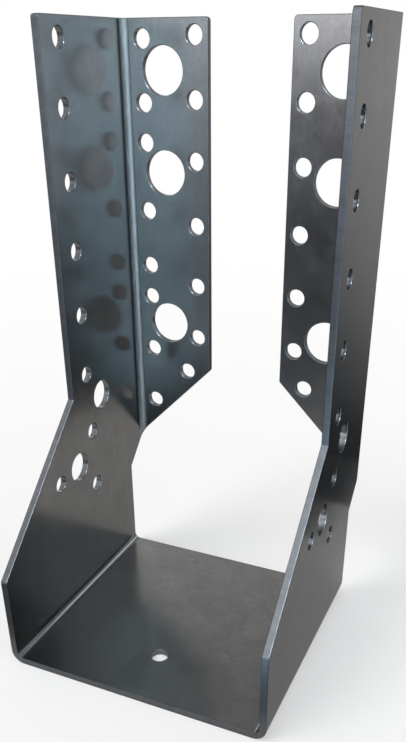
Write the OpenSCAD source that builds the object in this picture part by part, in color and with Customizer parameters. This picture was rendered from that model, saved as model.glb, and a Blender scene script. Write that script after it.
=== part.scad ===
// Joist hanger with internal header flanges, folded from one galvanised sheet.
// X runs across the joist, Y runs back to the header face, Z is up.
// The origin is on the underside of the seat, in the middle of the hanger's width and depth.

/* [Seat] */
// Clear width between the legs, where the joist sits
seat_w = 76; // [64:1:140]
// Depth from the header face to the front edge of the seat
seat_d = 83.5; // [76:0.5:120]
// Distance from the header face to the back edge of the seat
seat_setback = 11; // [8:0.5:20]

/* [Sheet] */
// Thickness of the sheet
sheet_t = 2; // [1.5:0.1:3]
// Inside radius of every bend
bend_r = 2; // [1:0.5:3]
// Radius at the corners of the cut outline
corner_r = 1; // [0.5:0.5:2]

/* [Legs] */
// Height of the hanger over the underside of its seat
leg_h = 166; // [160:1:240]
// Depth of the upper leg, from the header face to its front edge
leg_d = 42.5; // [41:0.5:60]
// Height at which the front edge starts to slope forward
slope_top = 67.5; // [56:0.5:75]
// Height at which the sloping edge meets the front of the seat
slope_low = 28.5; // [15:0.5:40]

/* [Header flanges] */
// Width of each flange, over the leg's outer face
flange_w = 28; // [26:0.5:31]
// Height of the lower end of the flange's free edge
flange_low = 67; // [62:0.5:70]

/* [Holes in the flanges] */
// Diameter of the nail holes, in the flanges, the legs and the seat
nail_d = 5; // [3.5:0.1:5.5]
// Diameter of the bolt holes in the flanges
bolt_d = 12.5; // [10:0.5:13]
// Distance from the leg's outer face to the nail column beside the bend
bend_column = 7.8; // [7.5:0.1:8.5]
// Distance from the flange's free edge to the nail column beside it
edge_column = 4.2; // [4:0.1:4.5]
// Distance from the leg's outer face to the single nail hole over the chamfer
low_nail_x = 20; // [18:0.5:20]

/* [Holes in the legs and the seat] */
// Diameter of the bolt holes in the legs
leg_bolt_d = 9; // [6:0.5:11]
// Distance from the header face to the nail column of the leg
leg_column = 34.3; // [32:0.1:36]
// Distance from the front edge of the seat to its nail hole
seat_nail = 17.5; // [10:0.5:30]

/* [Hidden] */
$fn = 48;

// Distances of the hole centres down from the top edge. A row too low for the
// chamfer or the slope is left out, so a short hanger has fewer of them.
bend_rows = [5, 21, 31.5, 50.5, 66.8, 76.6, 93.8, 112];
edge_rows = [4.2, 20, 36, 54, 72, 88.4];
bolt_rows = [12.8, 39.5, 84.6];
leg_rows = [4.9, 20.7, 38.5, 56.6, 74.7, 92.8];

// Height of the single nail hole over the chamfer below it
low_nail_rise = 6.8;

// Holes in the lower leg: depth from the header face, height over the underside
low_nails = [[33.5, 54.2], [33.5, 35.6], [52.9, 44.7]];
low_bolts = [[26.8, 64], [42.4, 45.6]];

// Setting-out line near the top of each flange
mark_x = 16.9;
mark_top = 2.2;
mark_len = 3.2;
mark_w = 0.6;
mark_deep = 0.3;

steel = "#8d9398";
over = 1;
header_y = seat_d / 2;
front_y = -seat_d / 2;
outer_x = seat_w / 2 + sheet_t;
bend_out = bend_r + sheet_t;
bolt_column = flange_w / 2;

// The chamfer is a straight 45 degree cut in the flat sheet, so it drops by the
// length of the bend's middle line where the sheet turns from flange to leg.
bend_len = (bend_r + sheet_t / 2) * PI / 2;
flange_foot = flange_low - (flange_w - bend_out);
leg_foot = flange_foot - bend_len;
heel = leg_foot - (seat_setback - bend_out);

// Height of the chamfer at distance x from the leg's outer face
function chamfer_z(x) = flange_low - (flange_w - x);

// Unit vector from one point of the plane to another
function toward(from, to) = (to - from) / norm(to - from);

// Twice the signed area of a corner: positive where the outline turns left
function turn(a, b, c) = (b[0] - a[0]) * (c[1] - b[1]) - (b[1] - a[1]) * (c[0] - b[0]);

// Middle of the rounding circle of radius r at corner b
function round_centre(a, b, c, r) =
    let (u = toward(b, a), v = toward(b, c), half = acos(u * v) / 2)
    b + (u + v) / norm(u + v) * r / sin(half);

// Distance from corner b to where its rounding starts
function round_start(a, b, c, r) =
    let (half = acos(toward(b, a) * toward(b, c)) / 2) r / tan(half);

// The tip of corner b that rounding adds or takes away, as a triangle
module corner_tip(a, b, c, r) {
    cut = round_start(a, b, c, r);
    polygon([b, b + toward(b, a) * cut, b + toward(b, c) * cut]);
}

// Outline drawn anticlockwise, in which each corner named in rounds gets radius r
module rounded_outline(points, rounds, r) {
    n = len(points);
    difference() {
        polygon(points);
        for (i = rounds) {
            a = points[(i + n - 1) % n];
            b = points[i];
            c = points[(i + 1) % n];
            if (turn(a, b, c) > 0)
                difference() {
                    corner_tip(a, b, c, r);
                    translate(round_centre(a, b, c, r)) circle(r);
                }
        }
    }
    for (i = rounds) {
        a = points[(i + n - 1) % n];
        b = points[i];
        c = points[(i + 1) % n];
        if (turn(a, b, c) < 0)
            difference() {
                corner_tip(a, b, c, r);
                translate(round_centre(a, b, c, r)) circle(r);
            }
    }
}

// Quarter ring of the bends: centre at the origin, in the quadrant -X +Y
module bend_section() {
    intersection() {
        difference() {
            circle(bend_out);
            circle(bend_r);
        }
        translate([-bend_out - over, 0]) square(bend_out + over);
    }
}

// Point of the cut across a bend: a is the turn from the leg round to the flange
function bend_cut_point(a, radius, z) = [-radius * cos(a), radius * sin(a), z];

// What the chamfer takes from the lower end of the bend between leg and flange.
// Its top climbs evenly round the bend, square to the sheet all the way.
module bend_cut() {
    steps = 9;
    near = bend_r / 2;
    far = bend_out + over;
    low = leg_foot - over;
    stations = [for (i = [0:steps]) [90 * i / steps, leg_foot + bend_len * i / steps]];
    points = [for (s = stations) each [
        bend_cut_point(s[0], near, s[1]), bend_cut_point(s[0], far, s[1]),
        bend_cut_point(s[0], far, low), bend_cut_point(s[0], near, low)]];
    sides = [for (i = [0:steps - 1], k = [0:3])
        [4 * i + k, 4 * i + (k + 1) % 4, 4 * i + 4 + (k + 1) % 4, 4 * i + 4 + k]];
    polyhedron(concat(points), concat([[3, 2, 1, 0]], sides, [[for (k = [0:3]) 4 * steps + k]]));
}

// Leg of the left side, as a flat plate with its outer face on X = 0
module leg_plate() {
    outline = [
        [front_y, bend_out], [header_y - seat_setback, bend_out],
        [header_y - seat_setback, heel], [header_y - bend_out, leg_foot],
        [header_y - bend_out, leg_h], [header_y - leg_d, leg_h],
        [header_y - leg_d, slope_top], [front_y, slope_low]];
    rotate([90, 0, 90]) linear_extrude(sheet_t) rounded_outline(outline, [5, 6, 7], corner_r);
}

// Flange of the left side, seen from the front, with the leg's outer face on X = 0
module flange_plate() {
    outline = [
        [bend_out, flange_foot], [flange_w, flange_low], [flange_w, leg_h], [bend_out, leg_h]];
    translate([0, header_y, 0]) rotate([90, 0, 0]) linear_extrude(sheet_t)
        rounded_outline(outline, [1, 2], corner_r);
}

// Bend between the left leg and its flange
module header_bend() {
    translate([bend_out, header_y - bend_out, 0]) difference() {
        translate([0, 0, leg_foot]) linear_extrude(leg_h - leg_foot) bend_section();
        bend_cut();
    }
}

// Bend between the left leg and the seat
module seat_bend() {
    translate([bend_out, header_y - seat_setback, bend_out])
        rotate([90, 0, 0]) linear_extrude(seat_d - seat_setback)
            mirror([0, 1]) bend_section();
}

module hole(d) { translate([0, 0, -over]) cylinder(h = sheet_t + 2 * over, d = d); }

// Column of holes in the flange, at distance x from the leg's outer face
module flange_column(rows, x, d) {
    for (down = rows)
        if (leg_h - down > chamfer_z(x) + d) translate([x, leg_h - down, 0]) hole(d);
}

// Holes of the left flange, cut from the header face forward
module flange_holes() {
    translate([0, header_y, 0]) rotate([90, 0, 0]) {
        flange_column(bend_rows, bend_column, nail_d);
        flange_column(edge_rows, flange_w - edge_column, nail_d);
        flange_column(bolt_rows, bolt_column, bolt_d);
        translate([low_nail_x, chamfer_z(low_nail_x) + low_nail_rise, 0]) hole(nail_d);
    }
}

// Holes of the left leg, cut from its outer face inward
module leg_holes() {
    translate([0, header_y, 0]) rotate([90, 0, 90]) {
        for (down = leg_rows)
            if (leg_h - down > slope_top + nail_d)
                translate([-leg_column, leg_h - down, 0]) hole(nail_d);
        for (at = low_nails) translate([-at[0], at[1], 0]) hole(nail_d);
        for (at = low_bolts) translate([-at[0], at[1], 0]) hole(leg_bolt_d);
    }
}

// Setting-out line pressed into the front face of the flange
module setting_out_mark() {
    translate([mark_x - mark_w / 2, header_y - sheet_t - over, leg_h - mark_top - mark_len])
        cube([mark_w, mark_deep + over, mark_len]);
}

// Left side with its outer face on X = 0: leg, flange, both bends and the holes
module side() {
    difference() {
        union() {
            leg_plate();
            flange_plate();
            header_bend();
            seat_bend();
        }
        flange_holes();
        leg_holes();
        setting_out_mark();
    }
}

// Seat between the two lower bends, with its one nail hole
module seat() {
    difference() {
        translate([-outer_x + bend_out, front_y, 0])
            cube([2 * (outer_x - bend_out), seat_d - seat_setback, sheet_t]);
        translate([0, front_y + seat_nail, 0]) hole(nail_d);
    }
}

// The whole folded sheet
module hanger() {
    color(steel) union() {
        seat();
        translate([-outer_x, 0, 0]) side();
        mirror([1, 0, 0]) translate([-outer_x, 0, 0]) side();
    }
}

hanger();
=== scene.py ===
"""Joist hanger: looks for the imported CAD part. Metres, +Z up, the CAD frame."""

import math

import bmesh
import bpy
from mathutils import Matrix, Vector
from mathutils.geometry import delaunay_2d_cdt


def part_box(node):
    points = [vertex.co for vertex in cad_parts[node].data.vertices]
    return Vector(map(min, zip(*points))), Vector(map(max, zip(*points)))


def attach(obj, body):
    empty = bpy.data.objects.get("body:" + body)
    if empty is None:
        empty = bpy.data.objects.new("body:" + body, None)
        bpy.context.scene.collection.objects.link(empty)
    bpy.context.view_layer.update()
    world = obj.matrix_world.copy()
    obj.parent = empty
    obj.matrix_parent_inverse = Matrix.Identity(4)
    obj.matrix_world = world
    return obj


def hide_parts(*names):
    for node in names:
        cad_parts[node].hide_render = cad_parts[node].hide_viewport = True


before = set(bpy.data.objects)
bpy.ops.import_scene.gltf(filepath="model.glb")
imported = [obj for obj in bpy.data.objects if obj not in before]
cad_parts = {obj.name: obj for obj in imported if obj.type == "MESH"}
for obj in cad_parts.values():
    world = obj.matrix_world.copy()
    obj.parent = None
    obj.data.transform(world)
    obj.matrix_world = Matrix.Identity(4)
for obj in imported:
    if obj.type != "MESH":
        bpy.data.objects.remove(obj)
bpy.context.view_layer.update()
low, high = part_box("hanger")

# -------------------------------- sizes of the sheet, as in the CAD
MM = 0.001
SHEET = 2 * MM
BEND_IN = 2 * MM
BEND_OUT = BEND_IN + SHEET
BEND_LEN = (BEND_IN + SHEET / 2) * math.pi / 2
SETBACK = 11 * MM
LEG_DEPTH = 42.5 * MM
SLOPE_TOP = 67.5 * MM
SLOPE_LOW = 28.5 * MM
FLANGE_W = 28 * MM
FLANGE_LOW = 67 * MM
CORNER_R = 1 * MM
MARK_FROM_LEG = 16.9 * MM
MARK_DOWN = 2.2 * MM
MARK_LEN = 3.2 * MM
MARK_WIDE = 0.6 * MM
MARK_DEEP = 0.3 * MM

OUTER_X = high.x
HEADER_Y = high.y
FRONT_Y = low.y
TOP_Z = high.z
SEAT_HALF = OUTER_X - BEND_OUT
FOLD_Y = HEADER_Y - BEND_OUT
# On a leg, the flat distance from the middle of the seat is LEG_U + height.
LEG_U = SEAT_HALF + BEND_LEN - BEND_OUT
# The flat depths at which a flange starts and ends.
FLANGE_V = FOLD_Y + BEND_LEN
FLANGE_END = FLANGE_V + FLANGE_W - BEND_OUT

# -------------------------------- how the mesh is cut
EDGE_R = 0.2 * MM               # rounding that shearing and zinc leave along every cut edge
ARC_STEPS = 3
BEND_STEPS = 12
HOLE_STEPS = 48
CORNER_STEPS = 6
FOLD_FROM = 30 * MM             # height at which the flange's fold lines start
OVERLAP = 1 * MM                # how far the fold lines run past the outline
SAME_POINT = MM / 1000
SAME_PLANE = MM / 100
NUDGE = MM / 100                # step that shows which way a cut face looks
TRIANGLE_EPSILON = 1e-7
INSIDE_HOLE = 0.99 * EDGE_R     # a triangle this close to a hole's wall belongs to the hole
HOLE_MAX_R = 10 * MM
HOLE_MIN_POINTS = 8
HOLE_ROUND = 0.9                # least share of a hole's radius that any of its points has
CORNER_COS = 0.9                # two edges meet in a corner if their turn's cosine is below this
LONG_EDGE = 3                   # a straight edge is at least this much longer than an arc's step

# -------------------------------- how the mesh tells the steel its place, and the light painted on it
HOLE_WALL = 0.5                 # share of bare steel on a hole's wall
ROUND_FROM = 0.5                # a cut edge counts as rounded where sin(2 turn) reaches this
ROUND_PAINTED_DARKENING = 0.55              # painted darkening on its rounding, which dims the highlight there
BEND_RISE = 3                   # how soon a flange bend reaches its full roughness and painted light
BEND_PAINTED_HIGHLIGHT = 0.75               # painted highlight: how much lighter a flange bend is painted beside the leg
BEND_PAINTED_FALL = 1.35                # how much that painted light falls on the way to the flange, into painted darkening
UV_PER_METRE = 10

# -------------------------------- camera, as fitted to the picture
IMAGE = (406, 742)
FOCAL_PX = 789.2
CENTRE_PX = (212.15, 494.04)
CAM_AT = Vector((0.08746, -0.18275, 0.15825))
CAM_TURN = Vector((2.0489, 0.4305, -0.2555))
SENSOR_MM = 36
CLIP = (0.01, 50)


def link(obj):
    bpy.context.scene.collection.objects.link(obj)
    return obj


def make_camera():
    data = bpy.data.cameras.new("camera")
    cam = link(bpy.data.objects.new("camera", data))
    to_camera = Matrix.Rotation(CAM_TURN.length, 3, CAM_TURN.normalized())
    flip = Matrix.Diagonal((1, -1, -1))
    rot = (flip @ to_camera).transposed().to_4x4()
    cam.matrix_world = Matrix.Translation(CAM_AT) @ rot
    data.sensor_fit = "AUTO"
    data.sensor_width = SENSOR_MM
    big = max(IMAGE)
    data.lens = FOCAL_PX / big * SENSOR_MM
    data.shift_x = (IMAGE[0] / 2 - CENTRE_PX[0]) / big
    data.shift_y = (CENTRE_PX[1] - IMAGE[1] / 2) / big
    data.clip_start, data.clip_end = CLIP
    bpy.context.scene.camera = cam


# -------------------------------- the folded sheet
def fold(u, v, n):
    """Point of the hanger and its inward normal.

    u runs across the flat sheet and v along it, and n is the distance in from its outer face.
    """
    side, a = (1 if u >= 0 else -1), abs(u)
    r = BEND_OUT - n
    if v > FOLD_Y:
        z = a - LEG_U
        turn = min((v - FOLD_Y) / BEND_LEN, 1) * math.pi / 2
        x = SEAT_HALF + r * math.cos(turn) - max(v - FLANGE_V, 0)
        y = FOLD_Y + r * math.sin(turn)
        return Vector((side * x, y, z)), Vector((-side * math.cos(turn), -math.sin(turn), 0))
    turn = min(max(a - SEAT_HALF, 0) / BEND_LEN, 1) * math.pi / 2
    x = min(a, SEAT_HALF) + r * math.sin(turn)
    z = BEND_OUT - r * math.cos(turn) + max(a - SEAT_HALF - BEND_LEN, 0)
    return Vector((side * x, v, z)), Vector((-side * math.sin(turn), 0, math.cos(turn)))


def rounded(points, rounds):
    """The outline, with an arc in place of each corner named in rounds."""
    out = []
    for i, b in enumerate(points):
        if i not in rounds:
            out.append(b)
            continue
        to_a = (points[i - 1] - b).normalized()
        to_c = (points[(i + 1) % len(points)] - b).normalized()
        half = to_a.angle(to_c) / 2
        centre = b + (to_a + to_c).normalized() * CORNER_R / math.sin(half)
        start = b + to_a * CORNER_R / math.tan(half) - centre
        end = b + to_c * CORNER_R / math.tan(half) - centre
        for k in range(CORNER_STEPS + 1):
            w = k / CORNER_STEPS
            out.append(centre + (start * (1 - w) + end * w).normalized() * CORNER_R)
    return out


def sheet_outline():
    """The flat sheet's outline, anticlockwise in (u, v)."""
    chamfer_end = FLANGE_LOW - (FLANGE_END - (HEADER_Y - SETBACK))
    half = (
        (LEG_U + SLOPE_LOW, FRONT_Y),
        (LEG_U + SLOPE_TOP, HEADER_Y - LEG_DEPTH),
        (LEG_U + TOP_Z, HEADER_Y - LEG_DEPTH),
        (LEG_U + TOP_Z, FLANGE_END),
        (LEG_U + FLANGE_LOW, FLANGE_END),
        (LEG_U + chamfer_end, HEADER_Y - SETBACK),
    )
    points = [Vector(p) for p in half] + [Vector((-p[0], p[1])) for p in reversed(half)]
    # The two corners where a chamfer meets the straight edge behind the seat stay sharp.
    sharp = (len(half) - 1, len(half))
    return rounded(points, [i for i in range(len(points)) if i not in sharp])


def found_holes():
    """Round holes of the CAD part, as (u, v, radius) in the flat sheet."""
    bm = bmesh.new()
    bm.from_mesh(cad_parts["hanger"].data)
    bmesh.ops.remove_doubles(bm, verts=bm.verts, dist=SAME_POINT)
    holes = []
    # The outer faces of the seat, the legs and the flanges: axis, place, way to the flat sheet.
    flats = (
        (2, low.z, lambda c: (c.x, c.y)),
        (0, low.x, lambda c: (-(LEG_U + c.z), c.y)),
        (0, high.x, lambda c: (LEG_U + c.z, c.y)),
        (1, high.y, lambda c: (math.copysign(LEG_U + c.z, c.x), FLANGE_V + SEAT_HALF - abs(c.x))),
    )
    for axis, value, to_flat in flats:
        faces = {f for f in bm.faces if all(abs(w.co[axis] - value) < SAME_PLANE for w in f.verts)}
        rim = {e for f in faces for e in f.edges if sum(g in faces for g in e.link_faces) == 1}
        while rim:
            first, at = rim.pop().verts
            loop = [first, at]
            while step := [e for e in at.link_edges if e in rim]:
                rim.discard(step[0])
                at = step[0].other_vert(at)
                loop.append(at)
            ring = [w.co for w in loop[:-1]]
            lo = Vector([min(c[i] for c in ring) for i in range(3)])
            hi = Vector([max(c[i] for c in ring) for i in range(3)])
            centre = (lo + hi) / 2
            reach = [(c - centre).length for c in ring]
            r = max(reach)
            if r < HOLE_MAX_R and len(ring) > HOLE_MIN_POINTS and min(reach) > HOLE_ROUND * r:
                holes.append((*to_flat(centre), r))
    bm.free()
    return sorted(holes)


def circle(u, v, r):
    turns = [2 * math.pi / HOLE_STEPS * k for k in range(HOLE_STEPS)]
    return [Vector((u + r * math.cos(t), v + r * math.sin(t))) for t in turns]


def inset(loop, by):
    """The loop moved to its left by that much, corner by corner."""
    out = []
    for i, p in enumerate(loop):
        a = (p - loop[i - 1]).normalized()
        b = (loop[(i + 1) % len(loop)] - p).normalized()
        na, nb = Vector((-a.y, a.x)), Vector((-b.y, b.x))
        mid = (na + nb).normalized()
        out.append(p + mid * by / mid.dot(na))
    return out


def inside(c, outline, holes):
    if any((c - Vector(h[:2])).length < h[2] + INSIDE_HOLE for h in holes):
        return False
    odd = False
    for i, b in enumerate(outline):
        a = outline[i - 1]
        if (a.y > c.y) != (b.y > c.y) and c.x < (b.x - a.x) * (c.y - a.y) / (b.y - a.y) + a.x:
            odd = not odd
    return odd


def flat_mesh():
    """The flat sheet inside its rounded edges: points, triangles, pressed mark points and holes."""
    verts, edges = [], []

    def lay(loop, closed=True):
        first, count = len(verts), len(loop)
        verts.extend(Vector(p) for p in loop)
        for k in range(count if closed else count - 1):
            edges.append((first + k, first + (k + 1) % count))

    lay(inset(sheet_outline(), EDGE_R))
    holes = found_holes()
    for u, v, r in holes:
        lay(circle(u, v, r + EDGE_R)[::-1])
    leg = (LEG_U + FOLD_FROM, LEG_U + TOP_Z + OVERLAP)
    seat = (FRONT_Y - OVERLAP, HEADER_Y - SETBACK + OVERLAP)
    for side in (-1, 1):
        for k in range(BEND_STEPS + 1):
            a = side * (SEAT_HALF + BEND_LEN * k / BEND_STEPS)
            lay([(a, v) for v in seat], False)
            b = FOLD_Y + BEND_LEN * k / BEND_STEPS
            lay([(side * u, b) for u in leg], False)
    marks = []
    v, w = FLANGE_V + MARK_FROM_LEG - BEND_OUT, MARK_WIDE / 2
    a = LEG_U + TOP_Z - MARK_DOWN
    b = a - MARK_LEN
    for side in (-1, 1):
        lay([(side * u, y) for u, y in ((a, v - w), (a, v + w), (b, v + w), (b, v - w))])
        line = [Vector((side * u, v)) for u in (a - w, b + w)]
        lay(line, False)
        marks += line
    points, _, faces, *_ = delaunay_2d_cdt(verts, edges, [], 0, TRIANGLE_EPSILON, True)
    outline = sheet_outline()
    keep = []
    for f in faces:
        c = sum((points[i] for i in f), Vector((0, 0))) / len(f)
        if inside(c, outline, holes):
            keep.append(f)
    return points, keep, marks, holes


def edge_profile():
    """Round a cut edge from the inner face to the outer: how far out, how deep, and its turn."""
    turns = [math.pi / 2 * k / ARC_STEPS for k in range(1, ARC_STEPS + 1)]
    rounds = [(EDGE_R * math.sin(t), EDGE_R * (1 - math.cos(t)), t) for t in turns]
    inner = [(out_by, SHEET - n, t) for out_by, n, t in rounds]
    return inner + [(out_by, n, math.pi - t) for out_by, n, t in reversed(rounds)]


def sheet_piece():
    points, faces, marks, holes = flat_mesh()
    used = sorted({i for f in faces for i in f})
    name = {i: k for k, i in enumerate(used)}
    flat = [points[i] for i in used]
    tris = []
    for f in faces:
        t = [name[i] for i in f]
        up = (flat[t[1]] - flat[t[0]]).cross(flat[t[2]] - flat[t[0]]) > 0
        tris.append(t if up else t[::-1])
    edges = dict.fromkeys((t[k], t[(k + 1) % len(t)]) for t in tris for k in range(len(t)))
    after = {a: b for a, b in edges if (b, a) not in edges}     # the rim, the sheet on its left
    before = {b: a for a, b in after.items()}
    verts, normals, uvs, edge_flag, bend_flag, painted_lights = [], [], [], [], [], []

    def put(p, n, look, edge, painted_light=1.0):
        co, inward = fold(p.x, p.y, n)
        verts.append(co)
        normals.append(inward * look)
        uvs.append((p.x * UV_PER_METRE, p.y * UV_PER_METRE))
        edge_flag.append(edge)
        t = min(max((p.y - FOLD_Y) / BEND_LEN, 0), 1)
        bend = min(1, BEND_RISE * math.sin(math.pi * t))
        bend_flag.append(bend)
        # Painted light: a painted highlight on a flange bend beside the leg, turning to painted
        # darkening toward the flange, times the rounding's painted darkening.
        painted_lights.append(painted_light * (1 + bend * (BEND_PAINTED_HIGHLIGHT - BEND_PAINTED_FALL * t)))
        return len(verts) - 1

    inner = []
    for p in flat:
        pressed = any((p - m).length < SAME_POINT for m in marks)
        inner.append(put(p, SHEET - (MARK_DEEP if pressed else 0), 1, 0))
    outer = [put(p, 0, -1, 0) for p in flat]
    polygons, corner_normals = [], []
    for t in tris:
        for face in ([inner[i] for i in t], [outer[i] for i in reversed(t)]):
            polygons.append(face)
            corner_normals.extend(normals[i] for i in face)
    profile = edge_profile()
    rings = {}
    for i in after:
        p = flat[i]
        to_p, from_p = p - flat[before[i]], flat[after[i]] - p
        a, b = to_p.normalized(), from_p.normalized()
        na, nb = Vector((a.y, -a.x)), Vector((b.y, -b.x))
        mid = (na + nb).normalized()
        miter = mid / mid.dot(na)
        # Which way the cut face looks before and after this point: apart at a corner, alike
        # along a curve.
        la, lb = to_p.length, from_p.length
        if na.dot(nb) < CORNER_COS:
            ways = (na, nb)
        elif max(la, lb) > LONG_EDGE * min(la, lb):
            ways = (na, na) if la > lb else (nb, nb)
        else:
            ways = (mid, mid)
        in_hole = any((p - Vector(h[:2])).length < h[2] + 2 * EDGE_R for h in holes)
        ring = [inner[i]]
        looks = [[normals[inner[i]]], [normals[inner[i]]]]
        for out_by, n, t in profile:
            q = p + miter * out_by
            here, inward = fold(q.x, q.y, n)
            for side, way in enumerate(ways):
                there = fold(q.x + way.x * NUDGE, q.y + way.y * NUDGE, n)[0]
                away = (there - here).normalized()
                looks[side].append((away * math.sin(t) + inward * math.cos(t)).normalized())
            if in_hole:
                ring.append(put(q, n, 1, HOLE_WALL))
            else:
                # The rounding of an outer cut edge gets painted darkening that dims its highlight.
                rounding = abs(math.sin(2 * t)) >= ROUND_FROM
                ring.append(put(q, n, 1, 1, ROUND_PAINTED_DARKENING if rounding else 1.0))
        ring.append(outer[i])
        for look in looks:
            look.append(normals[outer[i]])
        rings[i] = (ring, *looks)
    for i, j in after.items():
        (a, _, a_look), (b, b_look, _) = rings[i], rings[j]
        for k in range(len(a) - 1):
            polygons.append([a[k], a[k + 1], b[k + 1], b[k]])
            corner_normals.extend((a_look[k], a_look[k + 1], b_look[k + 1], b_look[k]))
    mesh = bpy.data.meshes.new("hanger_sheet")
    mesh.from_pydata(verts, [], polygons)
    mesh.update()
    for p in mesh.polygons:
        p.use_smooth = True
    mesh.normals_split_custom_set(corner_normals)
    uv = mesh.uv_layers.new(name="flat_sheet")
    for loop in mesh.loops:
        uv.data[loop.index].uv = uvs[loop.vertex_index]
    for key, values in (("cut_edge", edge_flag), ("bend", bend_flag), ("painted_light", painted_lights)):
        mesh.attributes.new(key, "FLOAT", "POINT").data.foreach_set("value", values)
    mesh.materials.append(steel())
    obj = link(bpy.data.objects.new("hanger_sheet", mesh))
    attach(obj, "root")
    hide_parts("hanger")


# -------------------------------- shader nodes
def emptied(owner):
    """The node tree of a material or world, with nothing in it."""
    owner.use_nodes = True
    owner.node_tree.nodes.clear()
    return owner.node_tree


def add(tree, kind, inputs, **settings):
    """A node with its settings. Each of its inputs takes a value or another node's output."""
    node = tree.nodes.new("ShaderNode" + kind)
    for key, value in settings.items():
        setattr(node, key, value)
    for key, value in inputs.items():
        if isinstance(value, bpy.types.NodeSocket):
            tree.links.new(value, node.inputs[key])
        else:
            node.inputs[key].default_value = value
    return node


def attribute(tree, name):
    return add(tree, "Attribute", {}, attribute_name=name)


# -------------------------------- the steel
ZINC = (0.158, 0.154, 0.148, 1)
ZINC_GRAZING = (0.55, 0.55, 0.55, 1)
BARE_DARK = (0.085, 0.085, 0.088, 1)
BARE_LIGHT = (0.125, 0.125, 0.129, 1)
SPANGLE_SCALE = 26
# Noise patterns: scale, detail, roughness, and for the rolling lines their stretch.
NOISES = {
    "clouds": (7, 4, 0.6),
    "grain": (70, 3, 0.7),
    "lines": (9, 4, 0.7, (0.12, 9, 1)),
    "shear": (60, 4, 0.7),
    "waves": (5, 2, 0.5),
}
NOISE_ENDS = (0.25, 0.75)
FULL_ENDS = (0, 1)
# What each pattern makes of the steel, from its low end to its high end.
TONE = {"clouds": (0.90, 1.10), "grain": (0.91, 1.09), "lines": (0.95, 1.05),
        "cell_tone": (0.965, 1.035)}
ROUGHNESS = {"clouds": (0.18, 0.23), "cell_rough": (-0.012, 0.012), "bend": (0, 0.3),
             "cut_edge": (0, 0.12)}
HEIGHT_MM = {"waves": (0, 0.016), "grain": (0, 0.0011), "lines": (0, 0.0008)}


def steel():
    """Dull zinc coat with fine spangle, cloudy patches and rolling lines along the sheet.

    Cut edges are darker bare steel with painted darkening on their rounding; flange bends get a
    painted highlight and darkening.
    """
    m = bpy.data.materials.new("galvanised_steel")
    tree = emptied(m)
    uv = add(tree, "UVMap", {}, uv_map="flat_sheet").outputs["UV"]
    patterns = {}
    for name, (scale, detail, rough, *stretch) in NOISES.items():
        place = add(tree, "Mapping", {"Vector": uv, "Scale": stretch[0] if stretch else (1, 1, 1)})
        noise = add(tree, "TexNoise", {
            "Vector": place.outputs["Vector"],
            "Scale": scale, "Detail": detail, "Roughness": rough,
        })
        patterns[name] = (noise.outputs["Fac"], NOISE_ENDS)
    spangle = add(tree, "TexVoronoi", {"Vector": uv, "Scale": SPANGLE_SCALE})
    cell = add(tree, "SeparateColor", {"Color": spangle.outputs["Color"]})
    patterns["cell_tone"] = (cell.outputs[0], FULL_ENDS)
    patterns["cell_rough"] = (cell.outputs[1], FULL_ENDS)
    for name in ("bend", "cut_edge"):
        patterns[name] = (attribute(tree, name).outputs["Fac"], FULL_ENDS)

    def spread(name, least, most):
        value, (start, end) = patterns[name]
        return add(tree, "MapRange", {
            "Value": value,
            "From Min": start, "From Max": end, "To Min": least, "To Max": most,
        }).outputs["Result"]

    def together(operation, effects):
        """The patterns' effects, multiplied or added."""
        total = None
        for name, ends in effects.items():
            part = spread(name, *ends)
            if total is not None:
                part = add(tree, "Math", {0: total, 1: part}, operation=operation).outputs[0]
            total = part
        return total

    def mixed(factor, a, b, blend="MIX"):
        inputs = {"Factor": factor, "A": a, "B": b}
        return add(tree, "Mix", inputs, data_type="RGBA", blend_type=blend).outputs["Result"]

    zinc = mixed(1, ZINC, together("MULTIPLY", TONE), "MULTIPLY")
    bare = mixed(spread("shear", 0, 1), BARE_DARK, BARE_LIGHT)
    colour = mixed(patterns["cut_edge"][0], zinc, bare)
    bump = add(tree, "Bump", {
        "Height": together("ADD", HEIGHT_MM), "Strength": 1, "Distance": MM,
    })
    # The base colour is multiplied by the painted highlight and painted darkening that the mesh
    # carries.
    surface = add(tree, "BsdfPrincipled", {
        "Base Color": mixed(1, colour, attribute(tree, "painted_light").outputs["Color"], "MULTIPLY"),
        "Metallic": 1,
        "Specular Tint": ZINC_GRAZING,
        "Roughness": together("ADD", ROUGHNESS),
        "Normal": bump.outputs["Normal"],
    })
    add(tree, "OutputMaterial", {"Surface": surface.outputs[0]})
    return m


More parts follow.
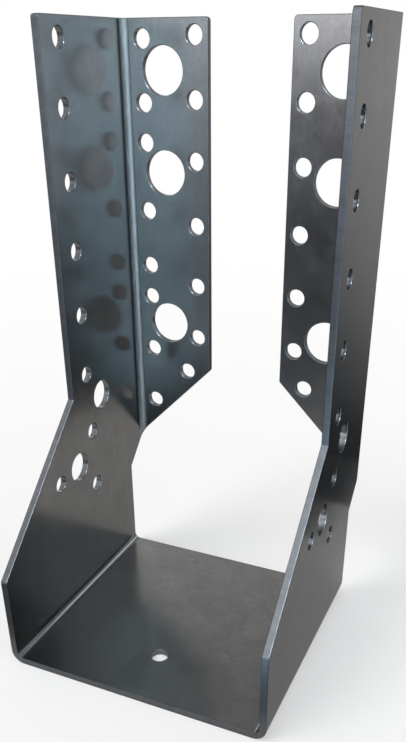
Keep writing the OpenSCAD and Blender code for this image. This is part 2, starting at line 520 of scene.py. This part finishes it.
# -------------------------------- the studio
# A pale floor and a white world are what the camera and the steel both see. Round them, outside
# the picture, stand soft lights and darker cards that only the steel mirrors.
# The dome of cards. Each row: azimuth, light by elevation, colour.
ELEVATIONS = (0, 3, 6, 20, 31, 36, 39, 43, 47, 52, 58, 66, 90)
WALLS = (
    (-150, (1, 1, 1, 1, .5, .35, .32, .3, .3, .34, .45, .8, 1), (1, 1, 1)),
    (-136, (.5, .6, .6, .6, .4, .3, .26, .23, .24, .3, .4, .8, 1), (.95, 1, 1.05)),
    (-125, (.8, 1, 1.2, 1, .8, .7, .65, .65, .85, 1.25, 2, 1.5, 1), (.86, 1, 1.14)),
    (-117, (1.7, 2.2, 2.4, 1.8, 1.4, 1.3, 1.3, 1.38, 1.68, 2.05, 2.5, 2.2, 1), (.84, 1, 1.16)),
    (-111, (.3, .5, 4.5, 3, 1.6, 1.6, 1.5, 1.46, 1.71, 2.05, 2.5, 2.2, 1), (.92, .98, 1.1)),
    (-107, (.04, .08, 6.4, 3.5, 1.6, 1.6, 1.5, 1.46, 1.71, 2.05, 2.5, 2.2, 1), (.97, .98, 1.08)),
    (-99, (1, 1.1, 4, 3, 1.6, 1.6, 1.5, 1.45, 1.65, 1.93, 2.3, 1.8, 1), (1, 1, 1.04)),
    (-76, (2, 2, 2, 1.5, 1.5, 2, 2.5, 3, 3, 2.5, 1.8, 1.5, 1), (.76, 1, 1.22)),
    (-70, (7, 8, 8, 2, 2, 2.5, 3, 4, 4, 3, 1.8, 1.5, 1), (.76, 1, 1.22)),
    (-61, (20, 24, 18, 2.5, 2, 2.5, 4, 16, 16, 4, 2, 1.5, 1), (.74, 1, 1.22)),
    (-57, (7, 8, 8, 2.5, 2, 2.5, 12, 120, 115, 5, 2, 1.5, 1), (.74, 1, 1.22)),
    (-51, (2.4, 2.4, 2.4, 2, 2, 2.5, 12, 112, 108, 5, 2, 1.5, 1), (.74, 1, 1.22)),
    (-36, (1.5, 1.5, 1.5, 1.5, 2, 2.5, 24, 112, 104, 5, 1.6, 1.2, 1), (.78, 1, 1.16)),
    (-29, (1.5, 1.5, 1.5, 1.5, 2, 2.5, 5, 12, 12, 3, 1.2, 1, 1), (.78, 1, 1.16)),
    (-10, (1.5, 1.5, 1.5, 2, 2.5, 4, 4, 3.88, 3.38, 2.55, 1.2, 1, 1), (.80, 1, 1.14)),
    (18, (1, 1, 1, 1, 1, 1, 1, 1, 1, 1, 1, 1, 1), (.9, 1, 1.1)),
    (36, (.4, .4, .4, .4, .9, 1, 1, 1, 1, 1, 1, 1, 1), (.9, 1, 1.1)),
    (47, (.4, .4, .4, .4, 1, 1.2, 1.5, 1.75, 1.55, 1.3, 1, 1, 1), (.9, 1, 1.1)),
    (53, (1.3, 1.35, 1.2, .9, 2.5, 2.4, 2.95, 3.29, 2.44, 1.6, 1, 1, 1), (.84, 1, 1.13)),
    (60, (1.5, 1.55, 1.4, 1.1, 3.4, 3.2, 3.3, 3.15, 2.15, 1.25, .8, 1, 1), (.82, 1, 1.17)),
    (70, (1.1, 1.12, 1.12, 1, 1.9, 1.5, 1.25, .95, .75, .62, .7, 1, 1), (1, 1, 1.01)),
    (77, (1.12, 1.14, 1.12, 1, 1.1, .8, .62, .44, .39, .44, .7, 1, 1), (1.02, 1, .99)),
    (95, (1.12, 1.14, 1.1, 1, 1.2, .95, .69, .43, .39, .45, .7, .9, 1), (.99, 1, 1)),
    (106, (1, 1, 1, 1, 1.25, .98, .78, .58, .57, .59, .7, .9, 1), (.98, 1, 1.02)),
    (125, (1, 1, 1, 1.5, 1.2, .95, .76, .58, .59, .65, .8, .9, 1), (.98, 1, 1.02)),
    (137, (1, 1, 2, 16, 15, 3, 1.9, .8, .8, .8, .8, .9, 1), (.82, 1, 1.18)),
    (160, (1, 1, 1, 1, 1, 1, 1, 1, 1, 1, 1, 1, 1), (1, 1, 1)),
    (210, (1, 1, 1, 1, .5, .35, .32, .3, .3, .34, .45, .8, 1), (1, 1, 1)),
)
# The table round the hanger. Each row: azimuth, light by distance from the hanger, colour.
DISTANCES = (0.06, 0.085, 0.11, 0.16, 0.23, 0.37, 0.53, 0.8, 1.5, 3)
TABLE = (
    (-150, (.7, .7, .7, .7, .7, .7, .7, .8, .9, 1), (1, 1, 1)),
    (-136, (.25, .25, .25, .25, .25, .3, .3, .35, .4, .5), (.9, 1, 1.1)),
    (-125, (.3, .3, .3, .3, .35, .4, .5, .6, .7, .8), (.82, 1, 1.18)),
    (-117, (.6, .6, .6, .6, .65, .75, .85, 1, 1.25, 1.7), (.80, 1, 1.2)),
    (-111, (.4, .35, .35, .32, .32, .3, .25, .25, .35, .6), (.85, .98, 1.15)),
    (-105, (.4, .325, .25, .1, .04, .02, .02, .04, .06, .12), (.96, .98, 1.1)),
    (-98, (.55, .475, .4, .2, .12, .15, .25, .5, .9, 1.3), (1, 1, 1.06)),
    (-89, (.5, .5, .5, .4, .3, .35, .4, .6, .8, 1), (.95, 1, 1.08)),
    (-79, (.4, .5, 2, 1.8, .8, .5, .5, .7, 1.2, 1.6), (.72, 1, 1.26)),
    (-74, (.6, .9, 8, 8, 5, 2.6, 2.6, 3.4, 4, 5), (.68, 1, 1.28)),
    (-70.5, (2.2, 3.4, 9.5, 9.8, 6.4, 4.2, 4.4, 5.6, 8, 9.4), (.68, 1, 1.28)),
    (-68, (.35, .45, 10, 11, 8.6, 5.8, 5.8, 7.2, 11, 13), (.68, 1, 1.28)),
    (-64, (.3, .4, 5, 8, 9, 8.6, 9.2, 10.5, 16, 18), (.67, 1, 1.28)),
    (-61, (.3, .3, 1.6, 4, 5.6, 7.6, 9, 11.5, 18, 20), (.67, 1, 1.28)),
    (-57.5, (.3, .3, 1, 1.4, 1.5, 1.8, 2.2, 3.2, 5.2, 6.4), (.69, 1, 1.26)),
    (-52, (.4, .4, .8, .8, .7, .8, 1.1, 1.6, 2.4, 3), (.72, 1, 1.24)),
    (-45, (.7, .65, .6, .45, .45, .55, .75, 1, 1.3, 1.8), (.74, 1, 1.2)),
    (-15, (.7, .65, .6, .45, .45, .55, .75, 1, 1.3, 1.6), (.78, 1, 1.16)),
    (10, (.6, .6, .6, .6, .6, .8, 1, 1.2, 1.5, 1.6), (.9, 1, 1.1)),
    (24, (.4, .35, .3, .3, .4, .5, .6, .7, .8, .9), (.95, 1, 1.05)),
    (50, (.05, .05, .05, .07, .13, .19, .31, .62, 1, 1.1), (.88, 1, 1.14)),
    (64, (.05, .05, .05, .08, .15, .18, .31, .62, 1, 1.1), (.88, 1, 1.14)),
    (70, (.04, .04, .04, .06, .26, .54, .72, .86, 1, 1.08), (.99, 1, 1.01)),
    (74, (.04, .04, .04, .06, .32, .61, .75, .87, .98, 1.06), (1, 1, 1)),
    (80, (.2, .2, .2, .2, .3, .52, .68, .84, .98, 1.06), (1, 1, 1)),
    (95, (.5, .5, .5, .5, .5, .5, .6, .8, .94, 1.06), (1, 1, 1)),
    (210, (.7, .7, .7, .7, .7, .7, .7, .8, .9, 1), (1, 1, 1)),
)
DOME_R = 2.9
DOME_CUTS = (180, 90)
CARD_AZIMUTHS = (-150, 95)      # cards stand between these
HIGH_CARD_AZIMUTH = 160         # outside them, and below this, only those above HIGH_CARD_Z do
HIGH_CARD_Z = 0.35
TABLE_FRONT = -0.050            # the table lies in front of this y and behind the next
TABLE_BACK = 0.058
TABLE_Z = 0.0002
TABLE_REACH = 3
TABLE_FINE = 0.005
TABLE_GROW = 1.07

FLOOR_SIZE = 6
FLOOR_COLOUR = (0.95, 0.95, 0.945, 1)
WHITE_NEAR = (0.08, 0.4)        # distance from the hanger, and the white that is mixed in there
WHITE_FAR = (0.55, 1.0)
SUN_STRENGTH = 1.3
SUN_ANGLE = math.radians(34)
SUN_WAY = Vector((0.42, 0.48, -0.8))
WORLD_WHITE = (1, 1, 1, 1)
WORLD_SEEN = 1.0
WORLD_FILL = 0.66


def blend_row(xs, ys, x):
    if x <= xs[0]:
        return ys[0]
    for k in range(len(xs) - 1):
        if x <= xs[k + 1]:
            w = (x - xs[k]) / (xs[k + 1] - xs[k])
            return ys[k] * (1 - w) + ys[k + 1] * w
    return ys[-1]


def azimuth(co):
    return math.degrees(math.atan2(co.y, co.x))


def row_light(rows, steps_at, az, x):
    """Colour of the light between the rows, by azimuth and by the step along them."""
    azs = [r[0] for r in rows]
    if az < azs[0]:
        az += 360
    level = blend_row(azs, [blend_row(steps_at, r[1], x) for r in rows], az)
    return [level * blend_row(azs, [r[2][c] for r in rows], az) for c in range(3)]


def wall_light(co):
    elevation = math.degrees(math.asin(max(-1, min(1, co.z / co.length))))
    return row_light(WALLS, ELEVATIONS, azimuth(co), elevation)


def table_light(co):
    return row_light(TABLE, DISTANCES, azimuth(co), math.hypot(co.x, co.y))


def wall_keep(co):
    az = azimuth(co)
    first, last = CARD_AZIMUTHS
    return co.z > 0 and (first < az < last or az < HIGH_CARD_AZIMUTH and co.z > HIGH_CARD_Z)


def table_keep(co):
    first, last = CARD_AZIMUTHS
    return first < azimuth(co) < last


def in_picture(co):
    at = bpy.context.scene.camera.matrix_world.inverted() @ co
    if at.z >= 0:
        return False
    x = CENTRE_PX[0] - FOCAL_PX * at.x / at.z
    y = CENTRE_PX[1] + FOCAL_PX * at.y / at.z
    return 0 < x < IMAGE[0] and 0 < y < IMAGE[1]


def glow_material(name):
    m = bpy.data.materials.new(name)
    tree = emptied(m)
    glow = add(tree, "Emission", {"Color": attribute(tree, "glow").outputs["Color"]})
    add(tree, "OutputMaterial", {"Surface": glow.outputs[0]})
    m.cycles.emission_sampling = "NONE"
    return m


def card(name, bm, light, keep):
    """A stage card that only the steel mirrors. No part of it stands inside the picture."""
    unwanted = [
        f for f in bm.faces
        if not keep(f.calc_center_median()) or any(in_picture(v.co) for v in f.verts)
    ]
    bmesh.ops.delete(bm, geom=unwanted, context="FACES")
    mesh = bpy.data.meshes.new(name)
    bm.to_mesh(mesh)
    bm.free()
    values = []
    for v in mesh.vertices:
        values.extend([*light(v.co), 1.0])
    mesh.attributes.new("glow", "FLOAT_COLOR", "POINT").data.foreach_set("color", values)
    mesh.materials.append(glow_material(name))
    obj = link(bpy.data.objects.new(name, mesh))
    obj.visible_camera = False
    obj.visible_diffuse = False
    obj.visible_shadow = False


def dome_bm():
    bm = bmesh.new()
    across, up = DOME_CUTS
    bmesh.ops.create_uvsphere(bm, u_segments=across, v_segments=up, radius=DOME_R)
    return bm


def table_bm():
    """Two flat grids, one in front of the hanger and one behind it, finest beside it."""
    out, step = [0.0], TABLE_FINE
    while out[-1] < TABLE_REACH:
        out.append(out[-1] + step)
        step *= TABLE_GROW
    xs = [-x for x in reversed(out[1:])] + out
    bm = bmesh.new()
    for ys in ([TABLE_FRONT - y for y in out], [TABLE_BACK + y for y in out]):
        rows = [[bm.verts.new((x, y, TABLE_Z)) for x in xs] for y in ys]
        for a, b in zip(rows, rows[1:]):
            for k in range(len(xs) - 1):
                bm.faces.new((a[k], a[k + 1], b[k + 1], b[k]))
    return bm


def seen_rays(tree):
    """1 for the rays that see the background.

    They are the camera's, and those mirrored in metal or passed by glass.
    """
    path = add(tree, "LightPath", {})
    either = path.outputs["Is Camera Ray"]
    for ray in ("Is Glossy Ray", "Is Transmission Ray"):
        inputs = {0: either, 1: path.outputs[ray]}
        either = add(tree, "Math", inputs, operation="MAXIMUM").outputs[0]
    return either


def mixed_shader(tree, factor, a, b):
    inputs = {0: factor, 1: a.outputs[0], 2: b.outputs[0]}
    return add(tree, "MixShader", inputs).outputs[0]


def floor_material():
    """Near the hanger the floor keeps its shadow. Farther out it runs into the white behind it."""
    m = bpy.data.materials.new("floor")
    tree = emptied(m)
    where = add(tree, "TexCoord", {}).outputs["Object"]
    away = add(tree, "VectorMath", {0: where}, operation="LENGTH").outputs["Value"]
    white = add(tree, "MapRange", {
        "Value": away,
        "From Min": WHITE_NEAR[0], "From Max": WHITE_FAR[0],
        "To Min": WHITE_NEAR[1], "To Max": WHITE_FAR[1],
    }, interpolation_type="SMOOTHSTEP").outputs["Result"]
    share = add(tree, "Math", {0: seen_rays(tree), 1: white}, operation="MULTIPLY").outputs[0]
    lit = add(tree, "BsdfDiffuse", {"Color": FLOOR_COLOUR})
    both = mixed_shader(tree, share, lit, add(tree, "Emission", {}))
    add(tree, "OutputMaterial", {"Surface": both})
    return m


def studio():
    card("walls", dome_bm(), wall_light, wall_keep)
    card("table", table_bm(), table_light, table_keep)
    bpy.ops.mesh.primitive_plane_add(size=FLOOR_SIZE, location=(0, 0, 0))
    floor = bpy.context.object
    floor.name = "floor"
    floor.data.materials.append(floor_material())
    lamp = bpy.data.lights.new("soft_lamp", "SUN")
    lamp.energy = SUN_STRENGTH
    lamp.angle = SUN_ANGLE
    lamp_obj = link(bpy.data.objects.new("soft_lamp", lamp))
    lamp_obj.rotation_euler = SUN_WAY.to_track_quat("-Z", "Y").to_euler()
    world = bpy.data.worlds.new("world")
    bpy.context.scene.world = world
    tree = emptied(world)
    seen, fill = (
        add(tree, "Background", {"Color": WORLD_WHITE, "Strength": strength})
        for strength in (WORLD_SEEN, WORLD_FILL)
    )
    both = mixed_shader(tree, seen_rays(tree), fill, seen)
    add(tree, "OutputWorld", {"Surface": both})


make_camera()
bpy.context.view_layer.update()
sheet_piece()
studio()

bpy.context.scene.view_settings.view_transform = "Standard"
